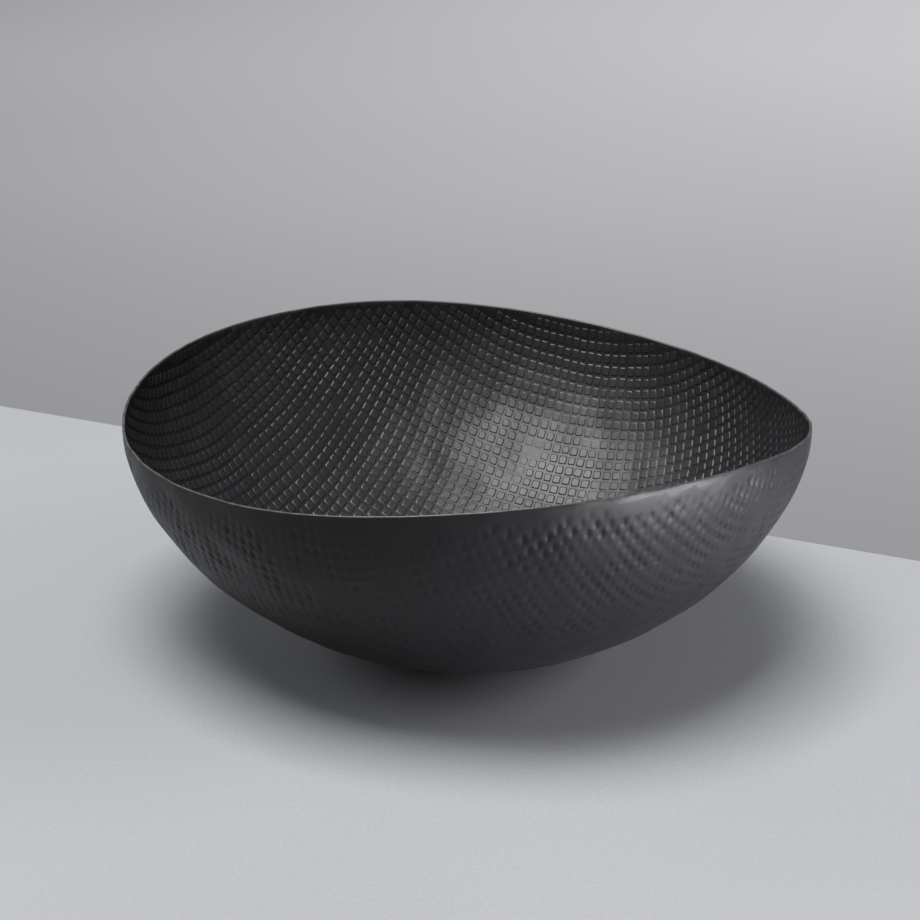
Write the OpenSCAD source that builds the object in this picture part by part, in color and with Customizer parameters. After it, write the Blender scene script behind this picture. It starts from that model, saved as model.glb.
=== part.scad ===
// Hand-hammered black metal bowl: one sheet raised into a round bowl with a wavy rim, on four foot pads.
// Millimetres, +Z up, the front faces -Y. The origin is on the table, under the middle of the rim.

/* [Bowl] */
// Mean radius of the rim, to its outer face
rim_r = 190; // [140:1:250]
// Mean height of the rim above the flat spot that the bowl stands on
rim_h = 132; // [90:1:180]
// Thickness of the hammered sheet
sheet_t = 1.5; // [1:0.1:3]
// Radius of the flat spot under the bowl
base_r = 34; // [25:1:60]

/* [Section] */
// Fullness low down: smaller swells the wall out sooner
foot_power = 1.12; // [0.9:0.01:1.4]
// Steepness near the rim: larger keeps the upper wall upright for longer
brim_power = 1.14; // [0.9:0.01:1.4]

/* [Rim, seen from above] */
// How far the rim reaches past its mean radius at the ends of its long axis
oval_out = 6.3; // [0:0.1:12]
// Bearing of the long axis, from +X towards +Y
oval_dir = -73; // [-90:1:90]
// How far the rim reaches out at its three blunt corners
corner_out = 2.9; // [0:0.1:6]
// Bearing of the first blunt corner
corner_dir = 51; // [-60:1:60]

/* [Rim, seen from the side] */
// How far the edge rises where the saddle is highest
saddle_rise = 10.7; // [0:0.1:20]
// Bearing of the saddle's high line
saddle_dir = -61; // [-90:1:90]
// How far the edge rises on its high side
tilt_rise = 1.3; // [0:0.1:6]
// Bearing of the high side
tilt_dir = -70; // [-180:1:180]

/* [Foot pads] */
// Diameter of a pad
pad_d = 10; // [6:0.5:14]
// Thickness of a pad
pad_t = 1.5; // [1:0.1:3]
// Gap from a pad's outer edge to the edge of the flat spot
pad_inset = 6; // [2:0.5:8]

/* [Hidden] */

// Uneven hammering leaves small ripples in the rim: number of lobes, swing, bearing of the first crest
RIPPLES = [
    [4, 0.6, -16],
    [5, 0.4, -30],
    [6, 0.3, -22],
    [7, 0.45, -13],
    [8, 0.3, 18]
];
RIPPLE_SUM = [for (w = RIPPLES) 1];

// Facets: stations around the bowl, and rings up its wall
STATIONS = 80;
RINGS = 20;
STEP = 360 / STATIONS;
BEARINGS = [for (i = [0 : STATIONS - 1]) i * STEP];

// Bearings of the four pads
FRONT_LEFT = 225;
FRONT_RIGHT = 315;
BACK_LEFT = 135;
BACK_RIGHT = 45;
pad_ring_r = base_r - pad_inset - pad_d / 2;

SHELL_COLOUR = "#2a2a2e";
PAD_COLOUR = "#4a4a4a";

// A swing of so many lobes at bearing a
function swing(lobes, size, first, a) = size * cos(lobes * (a - first));

// The rim's outer radius, and its height above the flat spot, at bearing a
function rim_reach(a) = rim_r
    + swing(2, oval_out, oval_dir, a)
    + swing(3, corner_out, corner_dir, a)
    + [for (w = RIPPLES) swing(w[0], w[1], w[2], a)] * RIPPLE_SUM;
function rim_height(a) = rim_h
    + swing(2, saddle_rise, saddle_dir, a)
    + swing(1, tilt_rise, tilt_dir, a);

// The wall's section at bearing a: p runs from 0 at the flat spot to 90 at the rim. Each gives [radius, height]
function outer(a, p) = [
    base_r + (rim_reach(a) - base_r) * pow(sin(p), foot_power),
    rim_height(a) * (1 - pow(cos(p), brim_power))
];
// How steeply the wall climbs there, from 0 on the flat spot to 90 at the rim
function steepness(a, p) = atan2(
    rim_height(a) * brim_power * pow(sin(p), 2 - foot_power),
    (rim_reach(a) - base_r) * foot_power * pow(cos(p), 2 - brim_power)
);
// The inner face lies one sheet thickness inside the outer one, square to the wall
function inner(a, p) = outer(a, p) + sheet_t * [-sin(steepness(a, p)), cos(steepness(a, p))];

// [radius, height] at bearing a, as a point
function place(a, rz) = [rz[0] * cos(a), rz[0] * sin(a), rz[1]];

// The middle of the rim's outline, which the origin is put under
function middle(v) = (max(v) + min(v)) / 2;
CENTRE = [
    middle([for (a = BEARINGS) rim_reach(a) * cos(a)]),
    middle([for (a = BEARINGS) rim_reach(a) * sin(a)])
];

// Two skins of rings from the flat spot to the rim, outer then inner, closed by flat floors and the rim's edge
module bowl_shell() {
    outside = [for (k = [0 : RINGS]) for (a = BEARINGS) place(a, outer(a, 90 * k / RINGS))];
    inside = [for (k = [0 : RINGS]) for (a = BEARINGS) place(a, inner(a, 90 * k / RINGS))];
    skin = len(outside);
    last = RINGS * STATIONS;
    walls = [
        for (k = [0 : RINGS - 1])
            for (i = [0 : STATIONS - 1])
                let (j = (i + 1) % STATIONS, b = k * STATIONS, t = b + STATIONS)
                    each [
                        [b + i, t + i, t + j],
                        [b + i, t + j, b + j],
                        [skin + b + i, skin + t + j, skin + t + i],
                        [skin + b + i, skin + b + j, skin + t + j]
                    ]
    ];
    edge = [
        for (i = [0 : STATIONS - 1])
            let (j = (i + 1) % STATIONS)
                each [
                    [last + i, skin + last + i, skin + last + j],
                    [last + i, skin + last + j, last + j]
                ]
    ];
    underside = [for (i = [0 : STATIONS - 1]) i];
    floor_face = [for (i = [STATIONS - 1 : -1 : 0]) skin + i];
    color(SHELL_COLOUR)
        translate([-CENTRE[0], -CENTRE[1], pad_t])
            polyhedron(concat(outside, inside), concat(walls, edge, [underside, floor_face]));
}

// A round pad stuck under the flat spot, at a bearing around its middle
module foot_pad(bearing) {
    color(PAD_COLOUR)
        translate([
            pad_ring_r * cos(bearing) - CENTRE[0],
            pad_ring_r * sin(bearing) - CENTRE[1],
            0
        ])
            cylinder(h = pad_t, d = pad_d, $fn = 48);
}

module foot_pad_front_left() {
    foot_pad(FRONT_LEFT);
}

module foot_pad_front_right() {
    foot_pad(FRONT_RIGHT);
}

module foot_pad_back_left() {
    foot_pad(BACK_LEFT);
}

module foot_pad_back_right() {
    foot_pad(BACK_RIGHT);
}

bowl_shell();
foot_pad_front_left();
foot_pad_front_right();
foot_pad_back_left();
foot_pad_back_right();
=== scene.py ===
import math

import bpy
import numpy as np
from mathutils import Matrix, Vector
from mathutils.geometry import delaunay_2d_cdt


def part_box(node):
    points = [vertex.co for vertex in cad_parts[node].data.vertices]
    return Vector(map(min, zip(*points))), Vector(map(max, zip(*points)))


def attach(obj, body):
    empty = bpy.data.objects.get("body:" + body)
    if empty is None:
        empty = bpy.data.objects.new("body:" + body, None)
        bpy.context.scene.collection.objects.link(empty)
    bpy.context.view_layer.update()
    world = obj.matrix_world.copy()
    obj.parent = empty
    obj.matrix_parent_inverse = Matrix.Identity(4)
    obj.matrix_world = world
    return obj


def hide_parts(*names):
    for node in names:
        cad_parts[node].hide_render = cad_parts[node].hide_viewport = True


# A hammered bowl of black sheet metal. The CAD shell gives the form. This script gives the sheet its
# rows of pressed pads inside, the dimples that they leave outside, a dressed rim, feet and finishes.
# Every length is in metres. The chart is the bowl's inside unrolled flat: the distance from its centre
# is the length along the wall from the bowl's axis, and the bearing is the azimuth round that axis.

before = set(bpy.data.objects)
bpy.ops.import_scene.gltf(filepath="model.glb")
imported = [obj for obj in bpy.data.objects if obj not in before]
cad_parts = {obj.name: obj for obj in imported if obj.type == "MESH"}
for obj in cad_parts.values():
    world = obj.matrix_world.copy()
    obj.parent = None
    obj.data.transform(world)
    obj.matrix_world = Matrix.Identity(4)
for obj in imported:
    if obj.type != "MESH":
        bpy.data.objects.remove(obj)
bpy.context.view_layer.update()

MM = 0.001
TURN = 2 * math.pi
BODY = "root"

# How finely the CAD skins are resampled before anything is laid on them
AZIMUTHS = 720
SHARES = 500
FLOOR_ROWS = 4
STEPS_PER_RING = 24
WELD = 0.001 * MM
OUTLINE_STEP = 16
INSIDE_ONLY = 1
CDT_NEAR = 1e-4

# The pattern's lattice on the chart: rows fall to the right, and bend more steeply at the left
ROW_PITCH = 6.6 * MM
COLUMN_PITCH = 6.87 * MM
ROW_BEARING = math.radians(-24)
COLUMN_BEARING = math.radians(67)
BEND = 0.9
BEND_STARTS = -50 * MM
BACK_SQUEEZE = 0.05
CHART_REACH = 270 * MM
WANDER = 0.5 * MM

# A pressed pad inside: half widths are shares of the pitch, and a rub of one is full wear. The rub also
# paints light and shade: pad tops lighter, pad feet and grooves darker.
PAD_HEIGHT = 0.42 * MM
PAD_FOOT = 0.402
PAD_SHOULDER = 0.312
PAD_CORNER = 0.12
PAD_POINTS = 12
SHOULDER_LEVEL = 0.90
GROOVE_SINK = 0.05
PAD_SHIFT = 0.018
PAD_TWIST = math.radians(2.5)
PAD_SIZE_SPREAD = 0.05
PAD_SIZE_LIMITS = (-0.09, 0.07)
PAD_MEAN = 0.92
PAD_UNEVEN = 0.10
PAD_CHANCE = (0.86, 1.08)
PAD_MOST = 1.15
PAD_FOOT_RUB_AND_SHADE = 0.12
PAD_TOP_RUB_AND_LIGHT = 0.9
FAINT_SHARE = 0.06
FAINT_CHANCE = (0.35, 0.7)
RIM_PLAIN = 2.2 * MM
RIM_FULL = 6 * MM

# Patches where the pads were barely struck: place on the chart, reach and what is left of the height
FAINT_PATCHES = [
    ((43 * MM, 163 * MM), 11 * MM, 0.10),
    ((28 * MM, 148 * MM), 8 * MM, 0.25),
    ((68 * MM, 183 * MM), 9 * MM, 0.20),
    ((83 * MM, 160 * MM), 8 * MM, 0.30),
    ((79 * MM, 124 * MM), 7 * MM, 0.35),
    ((119 * MM, 142 * MM), 9 * MM, 0.25),
    ((108 * MM, 168 * MM), 8 * MM, 0.30),
]

# The dimples outside: each size is a half length along the wall and a half width across it
DIMPLE_DEPTH = 0.55 * MM
DIMPLE_EDGE = (3.1 * MM, 1.75 * MM)
DIMPLE_WAIST = (2.1 * MM, 1.1 * MM)
DIMPLE_TAPER = 0.28
WAIST_LEVEL = 0.78
DIMPLE_PLAIN = 8 * MM
DIMPLE_FULL = 14 * MM
DIMPLE_LEAST = 0.06
DIMPLE_MOST = 1.08
DIMPLE_CHANCE = (0.3, 1.3)
DIMPLE_SIZE_LIMITS = (-0.12, 0.06)
EDGE_POINTS = 10
WAIST_POINTS = 6

# Where the dimples show. Azimuths are in degrees, and -90 is the front. The dimples are strongest at the
# right front, weak in a gap just left of the front, and reach lower down the wall at the left.
STRONGEST_AZIMUTH = -50
ROUND_MEAN = 0.74
ROUND_SWING = 0.26
GAP_AZIMUTH = -97
GAP_WIDTH = 14
GAP_LOSS = 0.65
BAND_WANDER = 2.5 * MM
LEFT_STARTS = (-0.3, 0.5)
LOW_START = 0.50
LOW_FULL = 0.86
LEFT_START_LOWER = 0.14
LEFT_FULL_LOWER = 0.10
CLUSTER_MEAN = 0.90
CLUSTER_SWING = 0.35
CLUSTER_LIMITS = (0.15, 1.3)

# How rubbed the outside is, with painted shade in the dimples: plain sheet, and a dimple's edge, waist and
# middle. Lower values darken a dimple's waist and middle as painted shade.
PLAIN_RUB = 0.5
EDGE_RUB = 0.55
WAIST_RUB_AND_SHADE = 0.35
MIDDLE_RUB_AND_SHADE_LOSS = 0.3

# The rim's rounded edge, and the slow waves that hand work leaves in the sheet
RIM_ROUND = 0.6 * MM
RIM_CLEAR = 1.7 * MM
RIM_PROFILE = [(0.05, 0.28), (0.20, 0.72), (0.5, 1.0), (0.80, 0.72), (0.95, 0.28)]
WAVE_HEIGHT = 0.16 * MM
WAVES_SHORTEST = 24 * MM
WAVES_LONGEST = 70 * MM
CALM_SHARES = (0.25, 0.5)

# The camera and the table, in the CAD frame
CAMERA_AIM = Vector((-0.0020, 0.0013, 0.1008))
CAMERA_DISTANCE = 1.3296
CAMERA_ELEVATION = math.radians(18.46)
CAMERA_LENS = 95.4
CAMERA_SENSOR = 36.0
TABLE_EDGE_BEARING = math.radians(-27.4)
TABLE_EDGE_DISTANCE = 0.226
TABLE_SIZE = 6.0
SLAB_THICKNESS = 0.03
GROUND_LEVEL = -0.75
GROUND_SIZE = 30.0
SLAB_ROUNDING = 1.2 * MM
SLAB_SEGMENTS = 4


# ---------------------------------------------------------------- the form of the sheet

def welded_vertices(mesh):
    """Every place in a mesh that has a vertex, once, with the sum of the normals of the faces round it."""
    points = np.empty(len(mesh.vertices) * 3)
    mesh.vertices.foreach_get("co", points)
    points = points.reshape(-1, 3)
    _, first, same = np.unique(np.round(points / WELD), axis=0, return_index=True, return_inverse=True)
    same = same.ravel()
    normals = np.zeros((len(first), 3))
    for face in mesh.polygons:
        for corner in face.vertices:
            normals[same[corner]] += face.area * np.array(face.normal)
    return points[first], normals


def ring_tables(points, stations, azimuth):
    """Radius and height of one skin's vertices as tables of rings by stations, from the floor up."""
    station = np.round(azimuth / TURN * stations).astype(int) % stations
    order = np.lexsort((points[:, 1], station))
    return points[order].reshape(stations, -1, 2).transpose(2, 1, 0)


def read_shell(node):
    """The bowl's axis and the ring tables of the CAD shell's outer and inner skins."""
    points, normals = welded_vertices(node.data)
    floor = points[points[:, 2] < points[:, 2].min() + WELD]
    axis = floor.mean(axis=0)
    offset = points - axis
    radius = np.hypot(offset[:, 0], offset[:, 1])
    azimuth = np.arctan2(offset[:, 1], offset[:, 0])
    away = points - np.array([axis[0], axis[1], points[:, 2].max()])
    outside = (normals * away).sum(axis=1) > 0
    section = np.column_stack([radius, points[:, 2]])
    off_axis = radius > MM
    stations = int((np.hypot(*(floor - axis)[:, :2].T) > MM).sum())
    tables = []
    for side in (outside, ~outside):
        chosen = side & off_axis
        tables.append(ring_tables(section[chosen], stations, azimuth[chosen]))
    return axis, tables[0], tables[1]


def spread_round(table, count):
    """Resamples rows of equally spaced stations at count azimuths, with no loss of their waves."""
    waves = np.fft.rfft(table, axis=1)
    finer = np.zeros((len(table), count // 2 + 1), complex)
    finer[:, : waves.shape[1]] = waves
    return np.fft.irfft(finer, count, axis=1) * (count / table.shape[1])


def smooth_rows(table, steps):
    """A Catmull-Rom curve through the rows of a table, with steps points for each row."""
    before = np.vstack([2 * table[:1] - table[1:2], table[:-1]])
    after = np.vstack([table[1:], 2 * table[-1:] - table[-2:-1]])
    slope = (after - before) / 2
    t = (np.arange(steps) / steps)[None, :, None]
    start, end = table[:-1, None], table[1:, None]
    leave, arrive = slope[:-1, None], slope[1:, None]
    curve = (
        start * (2 * t**3 - 3 * t**2 + 1)
        + leave * (t**3 - 2 * t**2 + t)
        + end * (3 * t**2 - 2 * t**3)
        + arrive * (t**3 - t**2)
    )
    return np.vstack([curve.reshape(-1, table.shape[1]), table[-1:]])


class Skin:
    """One side of the sheet as a smooth surface over the azimuth and the share of the wall's length."""

    def __init__(self, axis, rings):
        self.axis = axis
        radius, height = (spread_round(table, AZIMUTHS) for table in rings)
        inwards = np.arange(FLOOR_ROWS)[:, None] / FLOOR_ROWS
        radius = smooth_rows(np.vstack([radius[:1] * inwards, radius]), STEPS_PER_RING)
        height = smooth_rows(np.vstack([height[:1] + 0 * inwards, height]), STEPS_PER_RING)
        steps = np.hypot(np.diff(radius, axis=0), np.diff(height, axis=0))
        length = np.vstack([np.zeros(AZIMUTHS), np.cumsum(steps, axis=0)])
        self.length = length[-1]
        share = np.linspace(0, 1, SHARES + 1)
        bearing = np.arange(AZIMUTHS) * TURN / AZIMUTHS
        self.places = np.empty((SHARES + 1, AZIMUTHS, 3))
        for column in range(AZIMUTHS):
            along = length[:, column] / self.length[column]
            reach = np.interp(share, along, radius[:, column])
            self.places[:, column, 0] = axis[0] + reach * math.cos(bearing[column])
            self.places[:, column, 1] = axis[1] + reach * math.sin(bearing[column])
            self.places[:, column, 2] = np.interp(share, along, height[:, column])
        across = np.roll(self.places, -1, axis=1) - np.roll(self.places, 1, axis=1)
        outwards = np.gradient(self.places, axis=0)
        normals = np.cross(outwards, across)
        normals[0] = (0, 0, 1)
        self.normals = normals / np.linalg.norm(normals, axis=2, keepdims=True)

    def length_at(self, azimuth):
        """The wall's length from the axis to the rim at an azimuth."""
        column = (azimuth / TURN * AZIMUTHS) % AZIMUTHS
        low = np.floor(column).astype(int) % AZIMUTHS
        part = column - np.floor(column)
        return self.length[low] * (1 - part) + self.length[(low + 1) % AZIMUTHS] * part

    def stretch_at(self, u, v):
        """How much wider the chart is than the wall, across the way to the rim."""
        azimuth, distance = np.arctan2(v, u), np.hypot(u, v)
        places, _ = self.at(distance / self.length_at(azimuth), azimuth)
        radius = np.hypot(places[:, 0] - self.axis[0], places[:, 1] - self.axis[1])
        return distance / np.maximum(radius, MM)

    def at(self, share, azimuth):
        """Places on the skin and the normals there, which point into the bowl."""
        column = (azimuth / TURN * AZIMUTHS) % AZIMUTHS
        low = np.floor(column).astype(int) % AZIMUTHS
        high = (low + 1) % AZIMUTHS
        side = (column - np.floor(column))[:, None]
        row = np.clip(share, 0, 1) * SHARES
        base = np.minimum(row.astype(int), SHARES - 1)
        rise = (row - base)[:, None]

        def blend(grid):
            lower = grid[base, low] * (1 - side) + grid[base, high] * side
            upper = grid[base + 1, low] * (1 - side) + grid[base + 1, high] * side
            return lower * (1 - rise) + upper * rise

        normals = blend(self.normals)
        return blend(self.places), normals / np.linalg.norm(normals, axis=1, keepdims=True)


# ---------------------------------------------------------------- the pattern on the chart

def smoothstep(low, high, value):
    """Zero up to low, one from high on, and a smooth rise between them."""
    t = np.clip((value - low) / (high - low), 0, 1)
    return t * t * (3 - 2 * t)


class SlowWaves:
    """A smooth random field on the chart: a sum of plane waves with a mean square of one."""

    def __init__(self, seed, shortest, longest, count=36):
        draw = np.random.default_rng(seed)
        length = np.exp(draw.uniform(math.log(shortest), math.log(longest), count))
        bearing = draw.uniform(0, TURN, count)
        self.across = TURN / length * np.cos(bearing)
        self.along = TURN / length * np.sin(bearing)
        self.phase = draw.uniform(0, TURN, count)
        self.gain = math.sqrt(2 / count)

    def __call__(self, u, v):
        total = np.zeros(np.shape(u))
        for across, along, phase in zip(self.across, self.along, self.phase):
            total += np.cos(u * across + v * along + phase)
        return total * self.gain


wander_u = SlowWaves(11, 60 * MM, 160 * MM, 16)
wander_v = SlowWaves(12, 60 * MM, 160 * MM, 16)
sheet_waves = SlowWaves(13, WAVES_SHORTEST, WAVES_LONGEST)
struck = SlowWaves(14, 40 * MM, 120 * MM, 20)
clusters = SlowWaves(15, 20 * MM, 60 * MM, 24)


def lattice(i, j):
    """The place on the chart of a point of the lattice."""
    u = i * ROW_PITCH * math.cos(ROW_BEARING) + j * COLUMN_PITCH * math.cos(COLUMN_BEARING)
    v = i * ROW_PITCH * math.sin(ROW_BEARING) + j * COLUMN_PITCH * math.sin(COLUMN_BEARING)
    u = u * (1 - BACK_SQUEEZE * np.clip(v / CHART_REACH, 0, 1))
    v = v + BEND * np.minimum(0, u - BEND_STARTS) ** 2
    return u + WANDER * wander_u(u, v), v + WANDER * wander_v(u, v)


def lattice_cells():
    """Whole lattice coordinates whose places reach over all of the chart."""
    span = math.ceil(1.6 * CHART_REACH / ROW_PITCH)
    i, j = np.meshgrid(np.arange(-span, span + 1), np.arange(-span, span + 1))
    i, j = i.ravel().astype(float), j.ravel().astype(float)
    u, v = lattice(i, j)
    near = np.hypot(u, v) < CHART_REACH
    return i[near], j[near]


def rounded_square(half, corner):
    """Twelve points round a square with rounded corners, as lattice steps from its centre."""
    side = half - corner
    diagonal = side + corner * math.sqrt(0.5)
    one_corner = [(half, side), (diagonal, diagonal), (side, half)]
    turns = [(1, 0), (0, 1), (-1, 0), (0, -1)]
    return np.array([(x * c - y * s, x * s + y * c) for c, s in turns for x, y in one_corner])


def teardrop(half_sizes, count):
    """Points round a drop shape, narrower at its end towards the rim."""
    bearing = (np.arange(count) + 0.5) * TURN / count
    narrowing = 1 - DIMPLE_TAPER * np.cos(bearing)
    return np.column_stack([half_sizes[0] * np.cos(bearing), half_sizes[1] * np.sin(bearing) * narrowing])


class Chart:
    """Points gathered on the chart, each with its height over the skin and its rub: wear plus painted light
    and shade, lighter on raised tops and darker in grooves and hollows.
    """

    def __init__(self, skin):
        self.skin = skin
        self.u, self.v, self.height, self.rub, self.outline = [], [], [], [], []
        self.outlines = 0

    def to_rim(self, u, v):
        """The length of wall left between a place on the chart and the rim."""
        return self.skin.length_at(np.arctan2(v, u)) - np.hypot(u, v)

    def add(self, u, v, height, rub, outline=-1):
        """Adds points, apart from those too close to the rim's edge."""
        kept = self.to_rim(u, v) > RIM_CLEAR
        stores = (self.u, self.v, self.height, self.rub, self.outline)
        for store, value in zip(stores, (u, v, height, rub, outline)):
            store.append(np.broadcast_to(value, u.shape)[kept])

    def add_outlines(self, u, v, height, rub, crisp=False):
        """Adds one outline in each row of u and v. The sides of a crisp one stay sides of triangles."""
        count, corners = u.shape
        inside = crisp & (self.to_rim(u, v) > RIM_CLEAR).all(axis=1)
        numbers = self.outlines + np.arange(count)
        outline = np.where(inside[:, None], numbers[:, None] * OUTLINE_STEP + np.arange(corners), -1)
        self.outlines += count
        level = np.broadcast_to(height[:, None], u.shape)
        wear = np.broadcast_to(np.asarray(rub).reshape(-1, 1), u.shape)
        self.add(u.ravel(), v.ravel(), level.ravel(), wear.ravel(), outline.ravel())

    def add_boundary(self):
        """Closes the chart just under the rim, and gives back how many points that takes."""
        bearing = np.arange(AZIMUTHS) * TURN / AZIMUTHS
        reach = self.skin.length - RIM_ROUND
        self.u.insert(0, reach * np.cos(bearing))
        self.v.insert(0, reach * np.sin(bearing))
        self.height.insert(0, np.zeros(AZIMUTHS))
        self.rub.insert(0, np.full(AZIMUTHS, PLAIN_RUB))
        self.outline.insert(0, np.full(AZIMUTHS, -1))

    def triangles(self):
        """The points and the triangles between them, inside the boundary."""
        self.add_boundary()
        stores = (self.u, self.v, self.height, self.rub, self.outline)
        u, v, height, rub, outline = (np.concatenate(store) for store in stores)
        points = [Vector((x / MM, y / MM)) for x, y in zip(u, v)]
        sides = [(k, (k + 1) % AZIMUTHS) for k in range(AZIMUTHS)] + outline_sides(outline)
        _, _, faces, origin, _, _ = delaunay_2d_cdt(points, sides, [], INSIDE_ONLY, CDT_NEAR)
        source = np.array([came[0] for came in origin])
        faces = source[np.array([face[:] for face in faces])]
        a, b, c = (np.column_stack([u, v])[faces[:, k]] for k in range(3))
        doubled = (b[:, 0] - a[:, 0]) * (c[:, 1] - a[:, 1]) - (b[:, 1] - a[:, 1]) * (c[:, 0] - a[:, 0])
        faces[doubled < 0] = faces[doubled < 0][:, ::-1]
        return u, v, height, rub, outline, faces


def outline_sides(outline):
    """The sides of all outlines, as pairs of points. The points of one outline follow each other."""
    sides = []
    members = np.nonzero(outline >= 0)[0]
    if not len(members):
        return sides
    numbers = outline[members] // OUTLINE_STEP
    starts = np.concatenate([[0], np.nonzero(np.diff(numbers))[0] + 1, [len(members)]])
    for start, end in zip(starts[:-1], starts[1:]):
        ring = members[start:end].tolist()
        sides += list(zip(ring, ring[1:] + ring[:1]))
    return sides


def square_outlines(i, j, outline, turn, size):
    """One outline in lattice steps round each lattice point, turned and sized for that point."""
    x = outline[None, :, 0] * size[:, None]
    y = outline[None, :, 1] * size[:, None]
    cos, sin = np.cos(turn)[:, None], np.sin(turn)[:, None]
    return lattice(i[:, None] + x * cos - y * sin, j[:, None] + x * sin + y * cos)


def drop_outlines(u, v, outline, size, stretch):
    """One outline in metres round each chart place, its first axis along the wall to the rim."""
    distance = np.hypot(u, v)[:, None] + MM
    cos, sin = u[:, None] / distance, v[:, None] / distance
    along = outline[None, :, 0] * size[:, None]
    across = outline[None, :, 1] * size[:, None] * stretch[:, None]
    return u[:, None] + along * cos - across * sin, v[:, None] + along * sin + across * cos


def pad_strength(u, v, to_rim, draw):
    """How strongly each pad was struck: less near the rim, in a few patches and now and then."""
    strength = smoothstep(RIM_PLAIN, RIM_FULL, to_rim)
    strength = strength * (PAD_MEAN + PAD_UNEVEN * struck(u, v))
    for (patch_u, patch_v), reach, left in FAINT_PATCHES:
        inside = np.exp(-((u - patch_u) ** 2 + (v - patch_v) ** 2) / reach**2)
        strength = strength * (1 - (1 - left) * inside)
    strength = strength * draw.uniform(*PAD_CHANCE, len(u))
    faint = draw.uniform(0, 1, len(u)) < FAINT_SHARE
    weaker = strength * draw.uniform(*FAINT_CHANCE, len(u))
    return np.clip(np.where(faint, weaker, strength), 0, PAD_MOST)


def inner_chart(skin):
    """The inside of the bowl: rows of low square pads with crowned tops and plain grooves between."""
    draw = np.random.default_rng(21)
    chart = Chart(skin)
    i, j = lattice_cells()
    corner_u, corner_v = lattice(i + 0.5, j + 0.5)
    sunk = smoothstep(RIM_PLAIN, RIM_FULL, chart.to_rim(corner_u, corner_v))
    # Groove corners get no rub, so the grooves are painted darkest: painted shade.
    chart.add(corner_u, corner_v, -GROOVE_SINK * PAD_HEIGHT * sunk, 0.0)
    u, v = lattice(i, j)
    strength = pad_strength(u, v, chart.to_rim(u, v), draw)
    i = i + draw.normal(0, PAD_SHIFT, len(i))
    j = j + draw.normal(0, PAD_SHIFT, len(j))
    turn = draw.normal(0, PAD_TWIST, len(i))
    size = 1 + draw.normal(0, PAD_SIZE_SPREAD, len(i)).clip(*PAD_SIZE_LIMITS)
    top = strength * PAD_HEIGHT
    foot = square_outlines(i, j, rounded_square(PAD_FOOT, PAD_CORNER), turn, size)
    shoulder = square_outlines(i, j, rounded_square(PAD_SHOULDER, PAD_CORNER), turn, size)
    centre_u, centre_v = lattice(i, j)
    # The rub values paint the pad feet dark and the tops light: painted shade and painted light, besides
    # wear.
    chart.add_outlines(*foot, 0 * top, PAD_FOOT_RUB_AND_SHADE * strength, crisp=True)
    chart.add_outlines(*shoulder, SHOULDER_LEVEL * top, strength, crisp=True)
    chart.add(centre_u, centre_v, top, PAD_TOP_RUB_AND_LIGHT * strength)
    return chart


def dimple_strength(skin, u, v, to_rim, draw):
    """How deep the dimples are outside: uneven clusters under the rim, most of them at the right front."""
    share = 1 - to_rim / skin.length_at(np.arctan2(v, u))
    azimuth = np.degrees(np.arctan2(v, u))
    cluster = clusters(u, v)
    around = ROUND_MEAN + ROUND_SWING * np.cos(np.radians(azimuth - STRONGEST_AZIMUTH))
    around = around * (1 - GAP_LOSS * np.exp(-(((azimuth - GAP_AZIMUTH) / GAP_WIDTH) ** 2)))
    band = smoothstep(DIMPLE_PLAIN, DIMPLE_FULL, to_rim + BAND_WANDER * cluster)
    left = smoothstep(*LEFT_STARTS, -np.cos(np.radians(azimuth)))
    low = smoothstep(LOW_START - LEFT_START_LOWER * left, LOW_FULL - LEFT_FULL_LOWER * left, share)
    strength = band * low * around * np.clip(CLUSTER_MEAN + CLUSTER_SWING * cluster, *CLUSTER_LIMITS)
    return np.clip(strength * draw.uniform(*DIMPLE_CHANCE, len(u)), 0, DIMPLE_MOST)


def outer_chart(skin):
    """The outside of the bowl: shallow drop-shaped dimples where the pads were pressed in."""
    draw = np.random.default_rng(22)
    chart = Chart(skin)
    i, j = lattice_cells()
    corner_u, corner_v = lattice(i + 0.5, j + 0.5)
    chart.add(corner_u, corner_v, np.zeros(len(i)), PLAIN_RUB)
    u, v = lattice(i, j)
    strength = dimple_strength(skin, u, v, chart.to_rim(u, v), draw)
    i = i + draw.normal(0, PAD_SHIFT, len(i))
    j = j + draw.normal(0, PAD_SHIFT, len(j))
    centre_u, centre_v = lattice(i, j)
    depth = strength * DIMPLE_DEPTH
    # Dimple middles lose rub, so their hollows are painted darker: painted shade.
    chart.add(centre_u, centre_v, depth, PLAIN_RUB - MIDDLE_RUB_AND_SHADE_LOSS * strength)
    pressed = strength > DIMPLE_LEAST
    u, v, depth = centre_u[pressed], centre_v[pressed], depth[pressed]
    size = 1 + draw.normal(0, PAD_SIZE_SPREAD, len(u)).clip(*DIMPLE_SIZE_LIMITS)
    stretch = skin.stretch_at(u, v)
    edge = drop_outlines(u, v, teardrop(DIMPLE_EDGE, EDGE_POINTS), size, stretch)
    waist = drop_outlines(u, v, teardrop(DIMPLE_WAIST, WAIST_POINTS), size, stretch)
    # The rub at a dimple's edge and waist paints its lip lighter and its hollow darker: painted light and
    # painted shade.
    chart.add_outlines(*edge, 0 * depth, EDGE_RUB)
    chart.add_outlines(*waist, WAIST_LEVEL * depth, WAIST_RUB_AND_SHADE)
    return chart


# ---------------------------------------------------------------- the sheet's mesh

DISC_RADIUS = 0.283
INNER_DISC = (0.290, 0.290)
OUTER_DISC = (0.706, 0.706)
RIM_BAND = 0.0015


def sheet_level(u, v, to_rim):
    """The slow waves in the sheet, calm on the flat that the feet are stuck to."""
    share = np.hypot(u, v) / (np.hypot(u, v) + to_rim)
    off_floor = smoothstep(*CALM_SHARES, share)
    return WAVE_HEIGHT * off_floor * sheet_waves(u, v)


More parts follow.
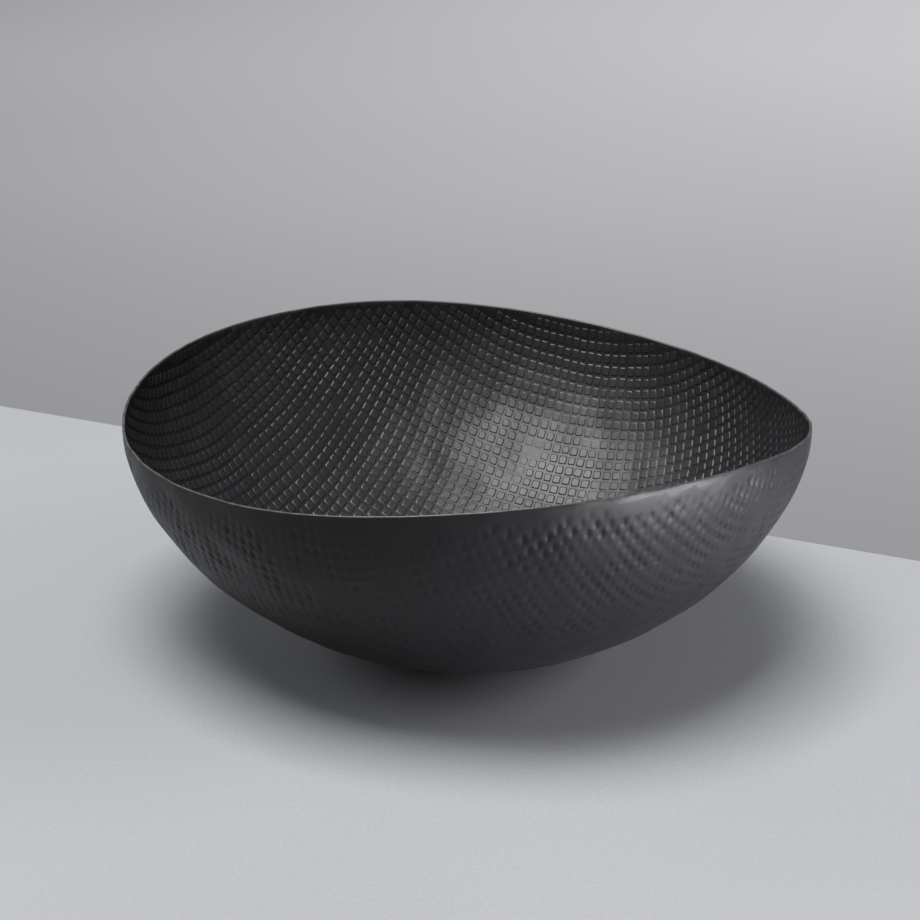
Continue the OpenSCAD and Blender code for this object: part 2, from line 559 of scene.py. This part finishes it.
def lay_on(skin, measure, u, v, height):
    """Puts chart points onto a skin, raised into the bowl by their height and the sheet's waves."""
    azimuth = np.arctan2(v, u)
    length = measure.length_at(azimuth)
    distance = np.hypot(u, v)
    places, normals = skin.at(distance / length, azimuth)
    level = height + sheet_level(u, v, length - distance)
    return places + normals * level[:, None]


def disc_uv(centre, measure, u, v):
    """Where chart points go in the finish's map: one disc for each side of the sheet."""
    scale = DISC_RADIUS / measure.length.max()
    return np.column_stack([centre[0] + u * scale, centre[1] + v * scale])


def rim_loops(inner, outer):
    """Loops over the rim's edge, from the inner skin's last ring to the outer skin's."""
    bearing = np.arange(AZIMUTHS) * TURN / AZIMUTHS
    reach = inner.length
    u, v = reach * np.cos(bearing), reach * np.sin(bearing)
    wave = sheet_level(u, v, np.zeros(AZIMUTHS))[:, None]
    inside, normals = inner.at(np.ones(AZIMUTHS), bearing)
    outside, _ = outer.at(np.ones(AZIMUTHS), bearing)
    inside_low, _ = inner.at(1 - RIM_ROUND / inner.length, bearing)
    outside_low, _ = outer.at(1 - RIM_ROUND / inner.length, bearing)
    loops = []
    for across, up in RIM_PROFILE:
        high = inside * (1 - across) + outside * across
        low = inside_low * (1 - across) + outside_low * across
        loops.append(low * (1 - up) + high * up + normals * wave)
    return loops


def mark_creases(mesh, crease):
    """Makes the edges hard that join neighbours on one creased outline."""
    ends = np.empty(len(mesh.edges) * 2, int)
    mesh.edges.foreach_get("vertices", ends)
    first, second = crease[ends.reshape(-1, 2)].T
    same = (first >= 0) & (first // OUTLINE_STEP == second // OUTLINE_STEP)
    gap = np.abs(first - second)
    hard = same & ((gap == 1) | (gap == PAD_POINTS - 1))
    mesh.attributes.new("sharp_edge", "BOOLEAN", "EDGE").data.foreach_set("value", hard)


def hammered_sheet(inner, outer):
    """The whole shell as one closed mesh: both skins, the rim's edge, and what the finish needs."""
    in_u, in_v, in_height, in_rub, in_crease, in_faces = inner_chart(inner).triangles()
    out_u, out_v, out_height, out_rub, _, out_faces = outer_chart(inner).triangles()
    in_places = lay_on(inner, inner, in_u, in_v, in_height)
    out_places = lay_on(outer, inner, out_u, out_v, out_height)
    loops = rim_loops(inner, outer)
    shift = len(in_places)
    edge_start = shift + len(out_places)
    columns = np.arange(AZIMUTHS)
    rings = [columns]
    rings += [edge_start + k * AZIMUTHS + columns for k in range(len(loops))]
    rings += [shift + columns]
    quads = []
    quad_uv = []
    bearing = columns * TURN / AZIMUTHS
    round_uv = np.column_stack([np.cos(bearing), np.sin(bearing)])
    for k, (low, high) in enumerate(zip(rings[:-1], rings[1:])):
        quads.append(np.column_stack([low, high, np.roll(high, -1), np.roll(low, -1)]))
        near = np.array(OUTER_DISC) + round_uv * (DISC_RADIUS + RIM_BAND * (k + 1))
        far = np.array(OUTER_DISC) + round_uv * (DISC_RADIUS + RIM_BAND * (k + 2))
        corners = [near, far, np.roll(far, -1, axis=0), np.roll(near, -1, axis=0)]
        quad_uv.append(np.stack(corners, axis=1))
    quads = np.vstack(quads)
    places = np.vstack([in_places, out_places] + loops)
    faces = in_faces.tolist() + (shift + out_faces[:, ::-1]).tolist() + quads.tolist()
    mesh = bpy.data.meshes.new("hammered_sheet")
    mesh.from_pydata(places.tolist(), [], faces)
    mesh.polygons.foreach_set("use_smooth", np.ones(len(faces), bool))
    uv = [disc_uv(INNER_DISC, inner, in_u, in_v)[in_faces].reshape(-1, 2)]
    uv.append(disc_uv(OUTER_DISC, inner, out_u, out_v)[out_faces[:, ::-1]].reshape(-1, 2))
    uv.append(np.vstack(quad_uv).reshape(-1, 2))
    layer = mesh.uv_layers.new(name="OFBake")
    layer.data.foreach_set("uv", np.vstack(uv).astype(np.float32).ravel())
    rub = np.concatenate([in_rub, out_rub, np.full(len(loops) * AZIMUTHS, PLAIN_RUB)])
    edge = np.zeros(len(places))
    edge[edge_start:] = 1
    for name, values in (("rub", rub), ("rim_edge", edge)):
        attribute = mesh.attributes.new(name, "FLOAT", "POINT")
        attribute.data.foreach_set("value", values.astype(np.float32))
    crease = np.full(len(places), -1)
    crease[:shift] = in_crease
    mark_creases(mesh, crease)
    return mesh


# ---------------------------------------------------------------- finishes

class Finish:
    """A node material under construction, with short ways to add and join its nodes."""

    def __init__(self, name):
        self.material = bpy.data.materials.new(name)
        self.material.use_nodes = True
        self.nodes = self.material.node_tree.nodes
        self.links = self.material.node_tree.links
        self.shader = self.nodes["Principled BSDF"]
        self.place = self.add("ShaderNodeTexCoord").outputs["Object"]

    def add(self, kind, **settings):
        node = self.nodes.new(kind)
        for name, value in settings.items():
            setattr(node, name, value)
        return node

    def join(self, source, target):
        self.links.new(source, target)

    def noise(self, scale, detail=3.0, roughness=0.5, stretch=None):
        """Noise with scale features to a metre, stretched by its own scale on each axis if asked."""
        node = self.add("ShaderNodeTexNoise")
        node.inputs["Scale"].default_value = scale
        node.inputs["Detail"].default_value = detail
        node.inputs["Roughness"].default_value = roughness
        place = self.place
        if stretch is not None:
            mapping = self.add("ShaderNodeMapping")
            mapping.inputs["Scale"].default_value = stretch
            self.join(place, mapping.inputs["Vector"])
            place = mapping.outputs["Vector"]
        self.join(place, node.inputs["Vector"])
        return node.outputs["Fac"]

    def attribute(self, name):
        return self.add("ShaderNodeAttribute", attribute_name=name).outputs["Fac"]

    def spread(self, value, low, high, to_low, to_high):
        """Takes a value from one range to another, held at the ends."""
        node = self.add("ShaderNodeMapRange")
        for name, number in (("From Min", low), ("From Max", high), ("To Min", to_low), ("To Max", to_high)):
            node.inputs[name].default_value = number
        self.join(value, node.inputs["Value"])
        return node.outputs["Result"]

    def sum(self, first, second):
        node = self.add("ShaderNodeMath", operation="ADD")
        self.join(first, node.inputs[0])
        self.join(second, node.inputs[1])
        return node.outputs[0]

    def mix(self, factor, first, second):
        """Mixes two colours, each a node's output or a plain (r, g, b)."""
        node = self.add("ShaderNodeMix", data_type="RGBA")
        self.join(factor, node.inputs["Factor"])
        for value, socket in ((first, node.inputs[6]), (second, node.inputs[7])):
            if isinstance(value, tuple):
                socket.default_value = (*value, 1)
            else:
                self.join(value, socket)
        return node.outputs[2]

    def bump(self, height, distance, under=None):
        """Fine relief that is too small for the mesh; distance is its depth in metres."""
        node = self.add("ShaderNodeBump")
        node.inputs["Distance"].default_value = distance
        self.join(height, node.inputs["Height"])
        if under is not None:
            self.join(under, node.inputs["Normal"])
        return node.outputs["Normal"]


def blackened_sheet():
    """Satin black on hammered metal: lighter on the pad tops and darker in the grooves and dimples, which is
    wear plus painted light and shade, and a lighter grey along the rim, which is worn bare metal plus a
    painted highlight.
    """
    finish = Finish("blackened_sheet")
    cloud = finish.spread(finish.noise(9, 4), 0.35, 0.65, 0, 1)
    speck = finish.spread(finish.noise(420, 3, 0.6), 0.3, 0.7, 0, 1)
    rub = finish.attribute("rub")
    colour = finish.mix(cloud, (0.0032, 0.0031, 0.0035), (0.0046, 0.0044, 0.0050))
    colour = finish.mix(finish.spread(speck, 0, 1, 0, 0.30), colour, (0.0105, 0.0098, 0.0112))
    # The rub attribute lightens raised pad tops and leaves grooves and dimple hollows darker: wear plus
    # painted light and painted shade.
    colour = finish.mix(finish.spread(rub, 0, 1, 0, 0.5), colour, (0.0130, 0.0124, 0.0138))
    # The rim edge is painted a lighter grey: partly worn bare metal, partly a painted highlight where the
    # rim's top catches the light.
    edge = finish.attribute("rim_edge")
    wear_and_highlight_patches = finish.spread(finish.noise(160, 3), 0.35, 0.6, 0.35, 0.9)
    rim_wear_and_highlight = finish.add("ShaderNodeMath", operation="MULTIPLY")
    finish.join(edge, rim_wear_and_highlight.inputs[0])
    finish.join(wear_and_highlight_patches, rim_wear_and_highlight.inputs[1])
    colour = finish.mix(rim_wear_and_highlight.outputs[0], colour, (0.036, 0.035, 0.037))
    finish.join(colour, finish.shader.inputs["Base Color"])
    rough = finish.spread(rub, 0, 1, 0.43, 0.40)
    rough = finish.sum(rough, finish.spread(finish.noise(55, 4), 0.3, 0.7, -0.035, 0.045))
    finish.join(rough, finish.shader.inputs["Roughness"])
    streaks = finish.bump(finish.noise(1, 2, 0.6, (420, 420, 28)), 0.02 * MM)
    grain = finish.bump(finish.noise(1100, 2), 0.014 * MM, streaks)
    ripple = finish.bump(finish.noise(170, 2), 0.05 * MM, grain)
    finish.join(ripple, finish.shader.inputs["Normal"])
    finish.shader.inputs["Specular IOR Level"].default_value = 0.20
    finish.shader.inputs["Metallic"].default_value = 0.0
    return finish.material


def foot_rubber():
    """Matt black rubber with a pebbled skin."""
    finish = Finish("foot_pad")
    dust = finish.spread(finish.noise(600, 4), 0.4, 0.7, 0, 1)
    colour = finish.mix(dust, (0.022, 0.022, 0.022), (0.050, 0.049, 0.047))
    finish.join(colour, finish.shader.inputs["Base Color"])
    finish.join(finish.spread(dust, 0, 1, 0.72, 0.9), finish.shader.inputs["Roughness"])
    finish.join(finish.bump(finish.noise(2600, 2), 0.05 * MM), finish.shader.inputs["Normal"])
    finish.shader.inputs["Specular IOR Level"].default_value = 0.35
    return finish.material


def table_paint():
    """Pale cool paint with the faint tooth of a rolled coat."""
    finish = Finish("table_paint")
    tone = finish.spread(finish.noise(3, 2), 0.35, 0.65, 0, 1)
    tooth = finish.spread(finish.noise(480, 3, 0.6), 0.3, 0.7, 0, 1)
    colour = finish.mix(tone, (0.288, 0.302, 0.310), (0.303, 0.317, 0.325))
    colour = finish.mix(finish.spread(tooth, 0, 1, 0, 0.5), colour, (0.247, 0.260, 0.269))
    finish.join(colour, finish.shader.inputs["Base Color"])
    finish.join(finish.spread(finish.noise(260, 3), 0.3, 0.7, 0.62, 0.74), finish.shader.inputs["Roughness"])
    finish.join(finish.bump(finish.noise(420, 3, 0.6), 0.12 * MM), finish.shader.inputs["Normal"])
    finish.shader.inputs["Specular IOR Level"].default_value = 0.3
    return finish.material


def ground_paint():
    """The grey surroundings beyond the table."""
    finish = Finish("ground_paint")
    tone = finish.spread(finish.noise(0.4, 1), 0.3, 0.7, 0, 1)
    colour = finish.mix(tone, (0.415, 0.420, 0.425), (0.440, 0.440, 0.445))
    finish.join(colour, finish.shader.inputs["Base Color"])
    finish.shader.inputs["Roughness"].default_value = 0.9
    finish.shader.inputs["Specular IOR Level"].default_value = 0.1
    return finish.material


# ---------------------------------------------------------------- pieces

def add_object(name, mesh, material):
    """An object in the scene for a mesh, with its one material."""
    piece = bpy.data.objects.new(name, mesh)
    bpy.context.scene.collection.objects.link(piece)
    mesh.materials.append(material)
    return piece


def make_shell(material):
    """The hammered sheet, in place of the plain CAD shell."""
    axis, outer_rings, inner_rings = read_shell(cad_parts["bowl_shell"])
    mesh = hammered_sheet(Skin(axis, inner_rings), Skin(axis, outer_rings))
    shell = add_object("hammered_sheet", mesh, material)
    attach(shell, BODY)
    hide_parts("bowl_shell")


# The foot's section from its glued face down to the middle of its underside, as shares of its radius
# and of its thickness: a thin glue film, a soft upper edge, a swelling side and a dished underside
FOOT_SECTION = [
    (0.00, 1.000), (0.93, 1.000), (0.94, 0.940), (0.90, 0.915), (0.95, 0.885), (0.985, 0.800),
    (1.00, 0.600), (1.00, 0.380), (0.985, 0.190), (0.955, 0.075), (0.91, 0.015), (0.86, 0.000),
    (0.62, 0.000), (0.56, 0.030), (0.45, 0.060), (0.00, 0.070),
]
FOOT_SIDES = 56
FOOT_NODES = [
    "foot_pad_front_left",
    "foot_pad_front_right",
    "foot_pad_back_left",
    "foot_pad_back_right",
]
FOOT_SUFFIX = "_rubber"


def make_foot(node, material):
    """A round stuck-on foot, turned from its section, in place of one CAD pad."""
    low, high = (np.array(corner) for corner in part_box(node))
    centre = (low + high) / 2
    radius = (high[0] - low[0]) / 2
    thickness = high[2] - low[2]
    bearing = np.arange(FOOT_SIDES) * TURN / FOOT_SIDES
    places = [(centre[0], centre[1], high[2])]
    for across, up in FOOT_SECTION[1:-1]:
        for angle in bearing:
            x = centre[0] + across * radius * math.cos(angle)
            y = centre[1] + across * radius * math.sin(angle)
            places.append((x, y, low[2] + up * thickness))
    places.append((centre[0], centre[1], low[2] + FOOT_SECTION[-1][1] * thickness))
    last = len(places) - 1
    loops = len(FOOT_SECTION) - 2
    faces = []
    for k in range(FOOT_SIDES):
        following = (k + 1) % FOOT_SIDES
        faces.append((0, 1 + k, 1 + following))
        for ring in range(loops - 1):
            upper = 1 + ring * FOOT_SIDES
            lower = upper + FOOT_SIDES
            faces.append((upper + k, lower + k, lower + following, upper + following))
        end = 1 + (loops - 1) * FOOT_SIDES
        faces.append((last, end + following, end + k))
    mesh = bpy.data.meshes.new(node + FOOT_SUFFIX)
    mesh.from_pydata(places, [], faces)
    mesh.polygons.foreach_set("use_smooth", np.ones(len(faces), bool))
    foot = add_object(node + FOOT_SUFFIX, mesh, material)
    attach(foot, BODY)
    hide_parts(node)


# ---------------------------------------------------------------- studio

def slab(name, corners, top, material):
    """A flat slab under its corners, with its edges rounded."""
    count = len(corners)
    places = [(x, y, top) for x, y in corners] + [(x, y, top - SLAB_THICKNESS) for x, y in corners]
    faces = [tuple(range(count)), tuple(reversed(range(count, 2 * count)))]
    for k in range(count):
        following = (k + 1) % count
        faces.append((k, k + count, following + count, following))
    mesh = bpy.data.meshes.new(name)
    mesh.from_pydata(places, [], faces)
    piece = add_object(name, mesh, material)
    bevel = piece.modifiers.new("rounding", "BEVEL")
    bevel.width = SLAB_ROUNDING
    bevel.segments = SLAB_SEGMENTS


def make_floor():
    """A pale table that ends a little behind the bowl, with a plain grey ground far below it."""
    along = np.array([math.cos(TABLE_EDGE_BEARING), math.sin(TABLE_EDGE_BEARING)])
    behind = np.array([-along[1], along[0]])
    edge = behind * TABLE_EDGE_DISTANCE
    half = TABLE_SIZE / 2
    front = edge - behind * TABLE_SIZE
    corners = [edge + along * half, edge - along * half, front - along * half, front + along * half]
    slab("table", corners, 0.0, table_paint())
    reach = GROUND_SIZE / 2
    outline = [(reach, reach), (-reach, reach), (-reach, -reach), (reach, -reach)]
    slab("ground", outline, GROUND_LEVEL, ground_paint())


def softbox(name, place, aim, size, power, colour, lit, own_shadows=False):
    """A soft area light on the named objects only. With own_shadows nothing else blocks its light."""
    light = bpy.data.lights.new(name, "AREA")
    light.shape = "RECTANGLE"
    light.size, light.size_y = size
    light.energy = power
    light.color = colour
    lamp = bpy.data.objects.new(name, light)
    lamp.location = place
    lamp.rotation_euler = (Vector(aim) - Vector(place)).to_track_quat("-Z", "Y").to_euler()
    lamp.visible_camera = False
    receivers = bpy.data.collections.new(name + "_lights")
    for piece in lit:
        receivers.objects.link(bpy.data.objects[piece])
    lamp.light_linking.receiver_collection = receivers
    if own_shadows:
        lamp.light_linking.blocker_collection = receivers
    bpy.context.scene.collection.objects.link(lamp)


# Where most of the lights aim, and where the small lights beside the bowl and behind it do
BOWL_MIDDLE = (0, 0, 0.08)
RIGHT_WALL = (0.1, -0.17, 0.12)
BACK_WALL = (0.0, 0.15, 0.10)


def make_table_lights():
    """A large box overhead and two low ones at the sides, on the table and the feet."""
    lit = ["table"] + [node + FOOT_SUFFIX for node in FOOT_NODES]
    overhead, right, left = (1.0, 0.99, 0.99), (1.0, 0.965, 1.0), (1.0, 0.985, 1.0)
    softbox("table_overhead", (-0.60, -0.90, 4.5), BOWL_MIDDLE, (2.5, 2.6), 330, overhead, lit)
    softbox("table_right", (1.7, -0.1, 0.70), BOWL_MIDDLE, (1.0, 0.9), 24, right, lit)
    softbox("table_left", (-1.9, 0.6, 0.90), BOWL_MIDDLE, (0.9, 0.9), 14, left, lit)


def make_bowl_lights():
    """A box over the bowl for the highlight inside, and weak ones at its right and behind it."""
    lit = ["hammered_sheet"]
    overhead, side = (1.0, 0.985, 0.99), (1.0, 0.98, 1.0)
    right, back = (1.0, 0.975, 1.02), (1.0, 0.985, 1.0)
    softbox("bowl_overhead", (-0.33, -0.07, 1.30), BOWL_MIDDLE, (1.20, 0.80), 68, overhead, lit, True)
    softbox("bowl_side", (1.55, -0.60, 0.62), BOWL_MIDDLE, (1.6, 1.1), 5, side, lit, True)
    softbox("bowl_right", (0.50, -0.37, 0.00), RIGHT_WALL, (0.44, 0.16), 10.5, right, lit, True)
    softbox("bowl_back", (-0.01, 0.56, -0.02), BACK_WALL, (0.28, 0.20), 6, back, lit, True)


def make_ground_light():
    """A box straight over the far ground, which fades it from right to left in the photograph's view."""
    place, below = (3.0, 7.0, 6.0), (3.0, 7.0, GROUND_LEVEL)
    softbox("behind", place, below, (6.0, 6.0), 720, (1, 0.99, 1), ["ground"], True)


def make_world():
    """A dim, faintly violet light from all round."""
    world = bpy.data.worlds.new("studio")
    world.use_nodes = True
    background = world.node_tree.nodes["Background"]
    background.inputs["Color"].default_value = (0.51, 0.505, 0.54, 1)
    background.inputs["Strength"].default_value = 0.30
    bpy.context.scene.world = world


def make_camera():
    """A long lens at the photograph's viewing angle."""
    data = bpy.data.cameras.new("camera")
    data.lens = CAMERA_LENS
    data.sensor_width = CAMERA_SENSOR
    data.clip_start = 0.05
    data.clip_end = 100
    camera = bpy.data.objects.new("camera", data)
    back = Vector((0, -math.cos(CAMERA_ELEVATION), math.sin(CAMERA_ELEVATION)))
    camera.location = CAMERA_AIM + back * CAMERA_DISTANCE
    camera.rotation_euler = (-back).to_track_quat("-Z", "Y").to_euler()
    bpy.context.scene.collection.objects.link(camera)
    bpy.context.scene.camera = camera


make_camera()
make_shell(blackened_sheet())
rubber = foot_rubber()
for foot_node in FOOT_NODES:
    make_foot(foot_node, rubber)
make_floor()
make_table_lights()
make_bowl_lights()
make_ground_light()
make_world()
bpy.context.scene.view_settings.view_transform = "Standard"
